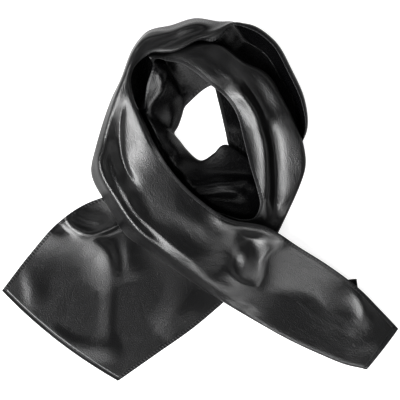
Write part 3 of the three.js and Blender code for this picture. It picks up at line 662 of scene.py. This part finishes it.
# %% [markdown]
# ## Stitches
#
# A row of short slanting stitches holds each hem down. They are tiny, so each is only a
# six-sided bead of thread, and all of a row are one mesh made from arrays: one bead's points,
# times each place's own three directions. A bead that would dip into the table is lifted onto it.

# %% Stitch rows
STITCH_LENGTH = 1.7
STITCH_RADIUS = 0.14
STITCH_INSET = 3.25  # from the edge
STITCH_SLANT = 0.35  # sideways for each millimetre along the row
STITCH_LIFT = 0.62  # a stitch's middle lies this far from the middle of the cloth
STITCH_DIP = 0.25  # its ends go into the cloth by this much
BEAD_TAPER = np.array([0.25, 0.85, 1.0, 0.85, 0.25])  # of the radius, ring by ring
BEAD_RINGS = len(BEAD_TAPER)
BEAD_SIDES = 6
CORNER_GAP = 2  # a row starts and ends this far inside the hems that it meets


def stitch_row(name, along, across, lengthwise):
    """Beads at the given places of the cloth. A stitch runs along its row, which goes along the
    strip or across it, plus the slant times the cross product of the normal and the row."""
    place = cloth(along, across)
    further = (along + NORMAL_STEP, across) if lengthwise else (along, across + NORMAL_STEP)
    row = unit(cloth(*further) - place)
    normal = cloth_normals(along, across)
    run = unit(row + STITCH_SLANT * np.cross(normal, row))
    return beads(name, place.reshape(-1, 3), normal.reshape(-1, 3), run.reshape(-1, 3))


def beads(name, place, normal, run):
    """Six-sided beads of five rings, tapered to both ends. A ring's points are the place, plus the
    ring's length along the stitch, plus its radius times cosine and sine on the other two
    directions. It lies one lift up, less the dip times the square of its share of the way from
    the middle to an end."""
    side = np.cross(normal, run)
    rings = np.linspace(-1, 1, BEAD_RINGS)
    radius = BEAD_TAPER * STITCH_RADIUS
    turn = np.arange(BEAD_SIDES) * 2 * math.pi / BEAD_SIDES
    run_on = (rings * STITCH_LENGTH / 2)[:, None]
    upwards = (STITCH_LIFT - STITCH_DIP * rings**2)[:, None] + radius[:, None] * np.sin(turn)
    sideways = radius[:, None] * np.cos(turn)
    points = (
        place[:, None, None, :]
        + run[:, None, None, :] * run_on[None, ..., None]
        + normal[:, None, None, :] * upwards[None, ..., None]
        + side[:, None, None, :] * sideways[None, ..., None]
    )
    below = np.minimum(points[..., 2].min(axis=(1, 2)) - TABLE_GAP, 0)
    points[..., 2] -= below[:, None, None]
    ring = np.arange(BEAD_SIDES)
    caps = np.stack([ring[::-1], ring + (BEAD_RINGS - 1) * BEAD_SIDES])
    first = (np.arange(len(place)) * BEAD_RINGS * BEAD_SIDES)[:, None, None]
    quads = (grid_faces(BEAD_RINGS, BEAD_SIDES, closed=True) + first).reshape(-1, 4)
    ends = (caps + first).reshape(-1, BEAD_SIDES)
    flat = np.zeros((points.size // 3, 2))
    return new_piece(name, centred(points), quads.tolist() + ends.tolist(), flat)


def stitch_places(length):
    """Places a pucker's pitch apart along an edge of that length, clear of both its corners."""
    margin = HEM_WIDTH + CORNER_GAP
    return np.arange(margin, length - margin, PUCKER_PITCH)


print("a stitch is a bead of", BEAD_RINGS * BEAD_SIDES, "points")

# %% Make the stitches
side_places = stitch_places(LENGTH)
neck_inset = np.full((len(side_places), 1), STITCH_INSET)
outer_inset = width_at(side_places)[:, None] - STITCH_INSET
neck_stitches = stitch_row("stitches_neck_side", side_places, neck_inset, True)
outer_stitches = stitch_row("stitches_outer_side", side_places, outer_inset, True)

left_inset = np.array([STITCH_INSET])
right_inset = LENGTH - left_inset
left_places = stitch_places(width_at(left_inset)[0])[None]
right_places = stitch_places(width_at(right_inset)[0])[None]
left_stitches = stitch_row("stitches_left_end", left_inset, left_places, False)
right_stitches = stitch_row("stitches_right_end", right_inset, right_places, False)
print("stitches along each side:", len(side_places))
print("stitches at the ends:", left_places.size, "and", right_places.size)

# %% [markdown]
# ## Writing finishes as sums
#
# A procedural finish is arithmetic on patterns. The class below wraps a node's output socket so
# that a plain expression such as `0.2 + 0.4 * mask` adds the Math nodes for it. Its method `node`
# adds any other node, with its settings first and then its sockets.

# %% Shader class


class Wire:
    """An output socket of a node tree that can stand in an expression."""

    def __init__(self, tree, socket=None):
        self.tree = tree
        self.socket = socket

    def node(self, kind, settings=None, sockets=None, out=0):
        """Adds a node of that kind, sets it up, feeds its sockets and gives its output."""
        made = self.tree.nodes.new(kind)
        for key, value in (settings or {}).items():
            setattr(made, key, value)
        for key, value in (sockets or {}).items():
            if isinstance(value, Wire):
                self.tree.links.new(value.socket, made.inputs[key])
            else:
                made.inputs[key].default_value = value
        return Wire(self.tree, made.outputs[out])

    def maths(self, operation, first, second):
        """One Math node on two values."""
        return self.node("ShaderNodeMath", {"operation": operation}, {0: first, 1: second})

    def __add__(self, other):
        return self.maths("ADD", self, other)

    def __radd__(self, other):
        return self.maths("ADD", other, self)

    def __mul__(self, other):
        return self.maths("MULTIPLY", self, other)

    def __rmul__(self, other):
        return self.maths("MULTIPLY", other, self)

    def mix(self, first, second):
        """A colour between two, by this wire."""
        return self.node(
            "ShaderNodeMix", {"data_type": "RGBA"}, {0: self, 6: first, 7: second}, out=2
        )


print("Wire can add and multiply sockets")

# %% Helpers for finishes


def new_finish(name, constants):
    """A material whose Principled shader has its constants set on its own sockets, that shader,
    and a wire to start its nodes from."""
    material = bpy.data.materials.new(name)
    material.use_nodes = True
    shader = material.node_tree.nodes["Principled BSDF"]
    for key, value in constants.items():
        shader.inputs[key].default_value = value
    return material, shader, Wire(material.node_tree)


def feed(shader, **sockets):
    """Links wires to the shader's sockets by name, with spaces written as underscores."""
    for key, wire in sockets.items():
        wire.tree.links.new(wire.socket, shader.inputs[key.replace("_", " ")])


def noise(place, scale, **sockets):
    """A noise pattern in space, `scale` of its cells to a metre."""
    return place.node("ShaderNodeTexNoise", {}, {"Vector": place, "Scale": scale, **sockets})


def flat_noise(place, scales, **sockets):
    """The same on flat cloth, whose place is first multiplied by a scale for each direction."""
    stretch = {"operation": "MULTIPLY"}
    stretched = place.node("ShaderNodeVectorMath", stretch, {0: place, 1: scales})
    sockets = {"Vector": stretched, "Scale": 1, **sockets}
    return place.node("ShaderNodeTexNoise", {"noise_dimensions": "2D"}, sockets)


print("finish helpers ready")

# %% [markdown]
# ## Satin
#
# Satin is woven so that long threads float along the strip on its face. They give it a broad
# soft gloss, brighter than a plain weave, with fine streaks along the threads. The face gets a
# black base, a middling roughness that the streaks vary, and a faint bump of streaks and of the
# small creases that any handled scarf has. The back shows the short crossing threads, so it gives
# back less light. It is mostly seen inside the loop, where the cloth turned to a light shows it
# and the rest is near black, so its gloss is a little tighter. Both read the flat cloth's own UV
# map, so the pattern bends with every fold.

# %% Satin finishes
STREAKS_PER_METRE = (70, 1500, 1)  # along the strip, across it, and the unused third direction
GRAINS_PER_METRE = (900, 900, 1)
CREASES_PER_METRE = (16, 34, 1)
STREAK_TINT = 0.5  # shares of the two patterns in the colour, the roughness and the bump
GRAIN_TINT = 0.5
STREAK_GLOSS = 0.08
GRAIN_GLOSS = 0.1
STREAK_RELIEF = 0.3
GRAIN_RELIEF = 0.7
THREAD_RELIEF = 0.0003  # metres


def cloth_patterns(place):
    """Three patterns on the flat cloth: streaks along the threads, a fine grain, and soft small
    creases."""
    streaks = flat_noise(place, STREAKS_PER_METRE, Detail=2, Roughness=0.5)
    grain = flat_noise(place, GRAINS_PER_METRE, Detail=1, Roughness=0.5)
    creases = flat_noise(place, CREASES_PER_METRE, Detail=3, Roughness=0.45, Distortion=0.4)
    return streaks, grain, creases


def satin(name, dark, light, roughness, crease_depth, constants):
    """Base colour between two blacks by streaks and grain, roughness plus their distance from
    their mean, and two bumps one after the other: creases, then streaks with grain."""
    material, shader, start = new_finish(name, constants)
    streaks, grain, creases = cloth_patterns(start.node("ShaderNodeTexCoord", out="UV"))
    colour = (STREAK_TINT * streaks + GRAIN_TINT * grain).mix(dark, light)
    least = roughness - (STREAK_GLOSS + GRAIN_GLOSS) / 2
    gloss = least + STREAK_GLOSS * streaks + GRAIN_GLOSS * grain
    soft = start.node("ShaderNodeBump", {}, {"Distance": crease_depth, "Height": creases})
    relief = STREAK_RELIEF * streaks + GRAIN_RELIEF * grain
    sockets = {"Distance": THREAD_RELIEF, "Height": relief, "Normal": soft}
    fine = start.node("ShaderNodeBump", {}, sockets)
    feed(shader, Base_Color=colour, Roughness=gloss, Normal=fine)
    return material


FACE = satin(
    "satin face",
    dark=(0.0012, 0.0012, 0.0013, 1),
    light=(0.0035, 0.0035, 0.004, 1),
    roughness=0.32,
    crease_depth=0.0006,
    constants={"Specular IOR Level": 0.65},
)
BACK = satin(
    "satin back",
    dark=(0.001, 0.001, 0.0012, 1),
    light=(0.003, 0.003, 0.0035, 1),
    roughness=0.26,
    crease_depth=0.0003,
    constants={"Specular IOR Level": 0.27},
)
satin_field.data.materials.append(FACE)
satin_field.data.materials.append(BACK)
print("satin finishes:", FACE.name, "and", BACK.name)

# %% [markdown]
# ## Hem and thread
#
# The hem is the same satin pulled in by its stitches, so it puckers: a ripple across the hem at
# the stitches' own pitch. Its colour is painted lighter and darker with the same ripple, as painted
# shade of the puckers. The thread is spun and matt.

# %% Hem finish
HEM_DARK = (0.002, 0.002, 0.0022, 1)
HEM_LIGHT = (0.009, 0.009, 0.010, 1)
HEM_GRAIN_TINT = 0.5
# share of the hem colour that is painted shade of the puckers
HEM_PUCKER_SHADE_TINT = 0.25
HEM_ROUGHNESS = 0.36
HEM_RIPPLE_RELIEF = 0.5  # against the creases, which count whole
HEM_GRAIN_RELIEF = 0.3
HEM_RELIEF = 0.0002  # metres

HEM, hem_shader, start = new_finish("satin hem", {"Specular IOR Level": 0.4})
place = start.node("ShaderNodeTexCoord", out="UV")
_, grain, creases = cloth_patterns(place)
lengthwise = start.node("ShaderNodeSeparateXYZ", {}, {0: place})
angle = lengthwise * (2 * math.pi / (PUCKER_PITCH * MM))
ripple = start.node("ShaderNodeMath", {"operation": "SINE"}, {0: angle})
# colour: real grain plus painted shade, lighter and darker with each pucker
hem_grain_and_pucker_shade = HEM_GRAIN_TINT * grain + HEM_PUCKER_SHADE_TINT * (1 + ripple)
relief = HEM_RIPPLE_RELIEF * ripple + creases + HEM_GRAIN_RELIEF * grain
pucker = start.node("ShaderNodeBump", {}, {"Distance": HEM_RELIEF, "Height": relief})
gloss = HEM_ROUGHNESS + GRAIN_GLOSS * grain
feed(hem_shader, Base_Color=hem_grain_and_pucker_shade.mix(HEM_DARK, HEM_LIGHT), Roughness=gloss, Normal=pucker)
for piece in (neck_hem, outer_hem, left_hem, right_hem):
    piece.data.materials.append(HEM)
print("hem finish:", HEM.name)

# %% Thread finish
THREAD_DARK = (0.005, 0.005, 0.006, 1)
THREAD_LIGHT = (0.03, 0.03, 0.032, 1)
THREAD_ROUGHNESS = 0.5
SPUN_GLOSS = 0.2  # how much the spun fibres vary it
FIBRES_PER_METRE = 4000

THREAD, thread_shader, start = new_finish("black thread", {"Specular IOR Level": 0.4})
spun = noise(start.node("ShaderNodeTexCoord", out="Object"), FIBRES_PER_METRE)
gloss = THREAD_ROUGHNESS + SPUN_GLOSS * spun
feed(thread_shader, Base_Color=spun.mix(THREAD_DARK, THREAD_LIGHT), Roughness=gloss)
for piece in (neck_stitches, outer_stitches, left_stitches, right_stitches):
    piece.data.materials.append(THREAD)

# %% [markdown]
# ## Table, light and camera
#
# Black satin shows its light more than its own colour. The photograph's bright flanks all lean to
# the left and a little to the front, so the main soft box stands there, well off the zenith.
# Level cloth then mirrors the dark gap overhead and only tilted cloth catches the box. Three
# weaker boxes, at the front, right and back, keep the other flanks from going quite black. The
# photograph is cut out on white, so the pale table also glows a little by itself, which washes
# out the shadows on it. The camera looks straight down, and the tone curve is a little steeper
# than plain, as the photograph's is.

# %% Table
TABLE_SIZE = 6.0  # metres
TABLE_DARK = (0.30, 0.30, 0.30, 1)
TABLE_LIGHT = (0.34, 0.34, 0.34, 1)
TABLE_ROUGHNESS = 0.85
TABLE_GLOSS = 0.1  # how much the grain varies it
TABLE_GRAINS_PER_METRE = 300

corners = np.array([(-1, -1, 0), (1, -1, 0), (1, 1, 0), (-1, 1, 0)]) * TABLE_SIZE / 2
table = new_piece("table", corners, [[0, 1, 2, 3]], corners[:, :2])
glow = {"Emission Color": (1, 1, 1, 1), "Emission Strength": 0.85}
pale, table_shader, start = new_finish("pale table", {"Specular IOR Level": 0.1, **glow})
speck = noise(start.node("ShaderNodeTexCoord", out="Object"), TABLE_GRAINS_PER_METRE)
gloss = TABLE_ROUGHNESS + TABLE_GLOSS * speck
feed(table_shader, Base_Color=speck.mix(TABLE_DARK, TABLE_LIGHT), Roughness=gloss)
table.data.materials.append(pale)
print("table:", TABLE_SIZE, "m square")

# %% Light
SOFT_BOXES = [  # place and size in metres, power in watts
    ("soft box left", (-1.5, -0.5, 1.6), (2.4, 1.2), 165),
    ("soft box front", (0.2, -1.7, 1.6), (2.2, 1.2), 50),
    ("soft box right", (1.7, 0.6, 1.6), (1.6, 1.6), 16),
    ("soft box back", (-0.4, 1.7, 1.7), (1.8, 1.0), 14),
]
STUDIO_LIGHT = 0.02  # strength of the even light from all round


def soft_box(name, place, size, power):
    """A rectangular area light at a place, turned to the middle of the scarf. Its radiance is the
    power over pi times its area."""
    light = bpy.data.lights.new(name, "AREA")
    light.shape = "RECTANGLE"
    light.size, light.size_y = size
    light.energy = power
    lamp = bpy.data.objects.new(name, light)
    lamp.location = place
    lamp.rotation_euler = (-Vector(place)).to_track_quat("-Z", "Y").to_euler()
    bpy.context.scene.collection.objects.link(lamp)


for box in SOFT_BOXES:
    soft_box(*box)
world = bpy.data.worlds.new("studio")
world.use_nodes = True
background = world.node_tree.nodes["Background"]
background.inputs["Color"].default_value = (1, 1, 1, 1)
background.inputs["Strength"].default_value = STUDIO_LIGHT
bpy.context.scene.world = world
print("soft boxes:", len(SOFT_BOXES))

# %% Tone and camera
TONE_GAMMA = 0.75
CAMERA_HEIGHT = 3.2  # metres
PHOTO_SPAN = 0.432  # metres across the photograph at the table

bpy.context.scene.view_settings.view_transform = "Standard"
bpy.context.scene.view_settings.gamma = TONE_GAMMA
camera_data = bpy.data.cameras.new("camera")
camera_data.angle = 2 * math.atan(PHOTO_SPAN / 2 / CAMERA_HEIGHT)
camera = bpy.data.objects.new("camera", camera_data)
camera.location = (0, 0, CAMERA_HEIGHT)
bpy.context.scene.collection.objects.link(camera)
bpy.context.scene.camera = camera
print("camera looks down from", CAMERA_HEIGHT, "m")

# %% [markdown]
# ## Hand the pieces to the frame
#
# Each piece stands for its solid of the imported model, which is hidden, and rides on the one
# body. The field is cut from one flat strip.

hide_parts("scarf_panel")
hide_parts("side_hem_neck")
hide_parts("side_hem_outer")
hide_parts("end_hem_left")
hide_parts("end_hem_right")
trimmings = [neck_hem, outer_hem, left_hem, right_hem]
trimmings += [neck_stitches, outer_stitches, left_stitches, right_stitches]
for piece in [satin_field] + trimmings:
    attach(piece, "root")
